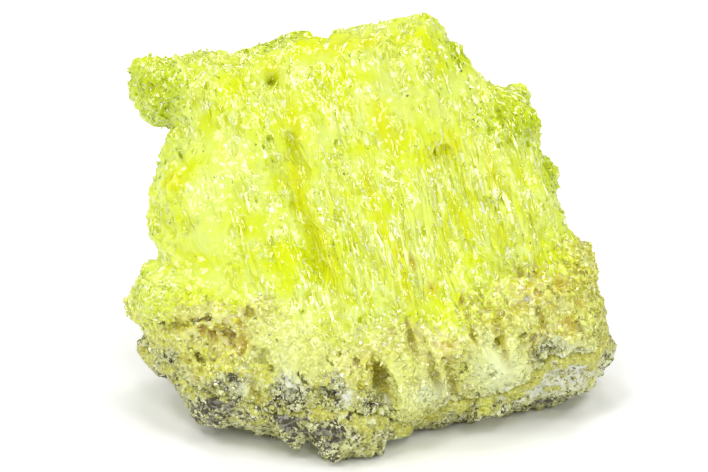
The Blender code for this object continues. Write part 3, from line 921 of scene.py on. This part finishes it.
def crusted_sulfur(w, crust_grains, skin, cell, mottle, painted_glints):
    """Dull grains with amber and brown pits, cream grains, pale bodies, ash and grooves."""
    hollow, pitted = skin["hollow"], skin["pitted"]
    calm = w.math("ADD", skin["pale"], skin["calm"], clamp=True)
    dull_line = w.plus(0.62, w.times(calm, 0.3))
    grains = {
        "Grain": w.plus(cell["Cell"], w.times(mottle, 2.0)),
        "Fleck": cell["Other"],
        "Dull Above": w.plus(dull_line, w.times(mottle, 1.2)),
        "Age": w.times(w.ramp(skin["seam"], 4.0, 0.0), 0.7),
    }
    colour = w.placed(crust_grains, grains)["Colour"]
    # Painted shade: the crust turns darker olive in its hollows.
    colour = w.mix(w.ramp(hollow, 0.02, 0.25), colour, CRUST_OLIVE)
    colour = w.mix(w.times(pitted, w.ramp(hollow, -0.05, 0.15)), colour, AMBER)
    colour = w.mix(w.times(pitted, w.ramp(hollow, 0.15, 0.4)), colour, CRUST_BROWN)
    colour = w.over(colour, w.times(pitted, w.above(cell["Other"], 0.55)), 0.7, CREAM)
    colour = w.over(colour, calm, 0.7, CRUST_PALE)
    colour = w.over(colour, skin["ashen"], 0.7, SNOW_LEMON)
    colour = w.over(colour, skin["groove"], 0.9, GROOVE)
    # Painted glints on the crust as well.
    return w.over(colour, painted_glints, 0.7, PAINTED_GLINT)


def stone_share(w, skin, mottle, grain):
    """How much stone shows in the sulfur: in its stony places, and close to the rock."""
    ragged = w.plus(w.times(mottle, 2.0), w.times(grain, 0.8))
    stony = w.times(w.times(skin["stony"], skin["skirt"]), w.plus(ragged, 0.8))
    by_rock = w.times(w.ramp(skin["seam"], 2.6, 0.0), w.plus(ragged, 0.45))
    return w.ramp(w.math("MAXIMUM", stony, by_rock), 0.55, 0.75)


def sulfur_material(name, groups, glow, unevenness):
    material, w, shader = new_material(name)
    facets, crust_grains, stone_grains = groups
    place = w.place()
    skin = {value: skin_value(w, value) for value in SULFUR_VALUES}
    lively = w.times(skin["sparkle"], w.minus(1.0, w.times(skin["deep"], 0.8)))
    tip = w.times(w.plus(w.times(lively, 0.48), 0.12), unevenness)
    cell, round_cell = sulfur_cells(w, facets, place, skin, tip)
    fine = facet_cells(w, facets, 4.0, 1.0, 0.0)
    mottle = w.minus(w.noise(place, 0.24 * PER_MM, 3.0), 0.5)
    # Painted glints: where the sulfur is lively, a few cells of the facets are painted near-white.
    painted_glint_share = w.times(w.minus(lively, w.times(skin["green"], 0.8)), 0.05)
    painted_glints = w.above(cell["Other"], w.minus(1.0, painted_glint_share))

    fresh = fresh_sulfur(w, place, skin, cell, lively, painted_glints)
    crust = crusted_sulfur(w, crust_grains, skin, cell, mottle, painted_glints)
    crusting = w.plus(w.times(w.minus(cell["Other"], 0.5), 0.7), skin["skirt"])
    crusting = w.minus(crusting, w.times(skin["fresh"], 0.8))
    colour = w.mix(w.ramp(crusting, 0.35, 0.65), fresh, crust)

    colour = w.over(colour, skin["amber"], 0.8, AMBER)
    in_pit = w.times(skin["amber"], w.ramp(skin["hollow"], 0.15, 0.5))
    colour = w.mix(in_pit, colour, CRUST_BROWN)
    # Painted shade: the tiny holes are dark green inside.
    colour = w.over(colour, skin["hole"], 0.9, HOLE_SHADE)
    greying = w.plus(skin["grey"], w.times(cell["Other"], 0.35))
    colour = w.over(colour, w.above(greying, 0.75), 0.8, GREY_CRUST)

    grain = round_cell["Cell"]
    stone = stone_colour(w, stone_grains, grain, fine["Other"], skin["ashen"], skin["bare"])
    colour = w.mix(stone_share(w, skin, mottle, grain), colour, stone)
    speck_share = w.plus(0.001, w.times(skin["green"], 0.02))
    colour = w.over(colour, w.below(fine["Other"], speck_share), 0.8, SPECK)

    w.feed(shader["Base Color"], colour)
    w.feed(shader["Normal"], cell["Normal"])
    shader["Roughness"].default_value = 0.14
    shader["IOR"].default_value = 1.66
    shader["Subsurface Weight"].default_value = glow
    shader["Subsurface Radius"].default_value = (1.0, 1.0, 0.2)
    shader["Subsurface Scale"].default_value = 1.0 * MM
    return material


# --- The rock's material -----------------------------------------------------------------

def rock_material(groups):
    material, w, shader = new_material("host_rock")
    facets, crust_grains, stone_grains = groups
    place = w.place()
    hollow, seam = skin_value(w, "hollow"), skin_value(w, "seam")
    bare, ashen, nub = (skin_value(w, name) for name in ROCK_MARKS)
    grain = facet_cells(w, facets, 2.4, 1.0, 0.9)
    fine = facet_cells(w, facets, 4.0, 1.0, 0.9)

    stone = stone_colour(w, stone_grains, grain["Cell"], fine["Other"], ashen, bare)
    slate = w.mix(w.ramp(grain["Cell"], 0.2, 0.9), ROCK_DARK, ROCK_GREY)
    slaty = w.plus(w.times(bare, 0.25), w.noise(place, 0.5 * PER_MM, 4.0, 0.65))
    slaty = w.plus(slaty, w.times(grain["Other"], 0.12))
    slaty = w.minus(slaty, w.times(ashen, 0.15))
    stone = w.mix(w.ramp(slaty, 0.7, 0.78), stone, slate)

    grains = {
        "Grain": grain["Cell"],
        "Fleck": fine["Other"],
        "Dull Above": 0.5,
        "Age": w.times(grain["Other"], 0.9),
    }
    crust = w.placed(crust_grains, grains)["Colour"]
    near_seam = w.times(w.ramp(seam, 4.0, 0.0), 0.22)
    cover = w.plus(w.noise(place, 0.38 * PER_MM, 4.0), near_seam)
    cover = w.minus(cover, w.times(bare, 0.2))
    cover = w.plus(cover, w.times(grain["Other"], 0.12))
    colour = w.mix(w.ramp(cover, 0.6, 0.7), stone, crust)

    yellow = w.mix(w.ramp(grain["Cell"], 0.1, 0.9), CRUST_OLIVE, PALE_SULFUR)
    stuck_on = w.plus(nub, w.times(fine["Cell"], 0.5))
    colour = w.mix(w.ramp(stuck_on, 0.6, 0.8), colour, yellow)
    # Painted shade: the rock darkens in its hollows, less so next to the sulfur.
    off_seam = w.minus(1.0, w.times(w.ramp(seam, 1.6, 0.0), 0.8))
    colour = w.mix(w.times(w.ramp(hollow, 0.05, 0.5), off_seam), colour, ROCK_DARK)

    w.feed(shader["Base Color"], colour)
    w.feed(shader["Normal"], grain["Normal"])
    shader["Roughness"].default_value = 0.4
    return material


# --- Pieces ------------------------------------------------------------------------------

def piece(name, mesh, material, node):
    """A skin or its crystals, in place of a solid."""
    made = bpy.data.objects.new(name, mesh)
    bpy.context.scene.collection.objects.link(made)
    mesh.materials.clear()
    mesh.materials.append(material)
    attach(made, "root")
    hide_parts(node)


# --- Floor, camera and light -------------------------------------------------------------

FLOOR_REACH = 4.0  # metres to each side
CAMERA_DISTANCE = 350.0
CAMERA_LENS = 135.8
VIEW_CENTRE = (-1.7, 29.2)  # the u and v in the middle of the view
SKY_LIGHT, SKY_EXTRA_SEEN = 0.25, 0.8

# Soft lamps far away: (name, azimuth to the right of the camera, elevation, strength, width).
LAMPS = (
    ("key_left", -38, 62, 0.68, 14),
    ("key_right", 36, 58, 0.56, 14),
    ("top", 0, 88, 0.5, 18),
    ("left", -50, 30, 0.45, 15),
    ("right", 67, 25, 0.62, 15),
    ("front_high", 8, 45, 0.32, 8),
    ("front_low", -12, 8, 0.2, 8),
    ("far_left", -75, 45, 0.32, 14),
    ("behind_left", -140, 38, 0.6, 17),
    ("behind_right", 145, 42, 0.6, 17),
)


def white_sweep_material():
    material, _, shader = new_material("white_sweep")
    shader["Base Color"].default_value = (0.96, 0.96, 0.96, 1)
    shader["Roughness"].default_value = 0.9
    shader["Specular IOR Level"].default_value = 0.0
    return material


def add_floor():
    body = bmesh.new()
    bmesh.ops.create_grid(body, x_segments=1, y_segments=1, size=FLOOR_REACH)
    mesh = bpy.data.meshes.new("floor")
    body.to_mesh(mesh)
    body.free()
    mesh.materials.append(white_sweep_material())
    floor = bpy.data.objects.new("floor", mesh)
    bpy.context.scene.collection.objects.link(floor)


def add_camera():
    """A camera that looks square at the leaning face."""
    aim = FACE_FOOT + VIEW_CENTRE[0] * RIGHT + VIEW_CENTRE[1] * UP_SLOPE
    data = bpy.data.cameras.new("camera")
    data.sensor_width = 36
    data.lens = CAMERA_LENS
    data.clip_start = 0.01
    camera = bpy.data.objects.new("camera", data)
    bpy.context.scene.collection.objects.link(camera)
    camera.location = Vector(aim + CAMERA_DISTANCE * OUT_OF_SLOPE) * MM
    camera.rotation_euler = Vector(-OUT_OF_SLOPE).to_track_quat("-Z", "Y").to_euler()
    bpy.context.scene.camera = camera


def add_lamps():
    for name, azimuth, elevation, strength, width in LAMPS:
        data = bpy.data.lights.new(name, "SUN")
        data.energy = strength
        data.angle = math.radians(width)
        lamp = bpy.data.objects.new(name, data)
        bpy.context.scene.collection.objects.link(lamp)
        a, e = math.radians(azimuth), math.radians(elevation)
        towards = Vector((math.sin(a) * math.cos(e), -math.cos(a) * math.cos(e), math.sin(e)))
        lamp.rotation_euler = (-towards).to_track_quat("-Z", "Y").to_euler()


def add_sky():
    """A white sky that looks brighter than it lights."""
    world = bpy.data.worlds.new("studio")
    world.use_nodes = True
    w = Wiring(world.node_tree)
    seen = w.node("ShaderNodeLightPath").outputs["Is Camera Ray"]
    sky = world.node_tree.nodes["Background"]
    sky.inputs["Color"].default_value = (1, 1, 1, 1)
    w.feed(sky.inputs["Strength"], w.plus(w.times(seen, SKY_EXTRA_SEEN), SKY_LIGHT))
    bpy.context.scene.world = world
    bpy.context.scene.view_settings.view_transform = "Standard"


def main():
    rng = np.random.default_rng(SEED)
    add_camera()
    groups = facets_group(), crust_group(), stone_group()

    sulfur = sulfur_skin(rng)
    mass = sulfur_material("sulfur_mass", groups, glow=0.6, unevenness=1.0)
    piece("sulfur_skin", sulfur, mass, "sulfur_crystals")
    sharp = sulfur_material("sulfur_crystals", groups, glow=0.0, unevenness=0.2)
    for name, growth in SHARP_CRYSTALS.items():
        crystal_mesh = sharp_crystals(name, growth, sulfur, rng)
        piece(name, crystal_mesh, sharp, "sulfur_crystals")
    piece("rock_skin", rock_skin(rng), rock_material(groups), "host_rock")

    add_floor()
    add_lamps()
    add_sky()


main()
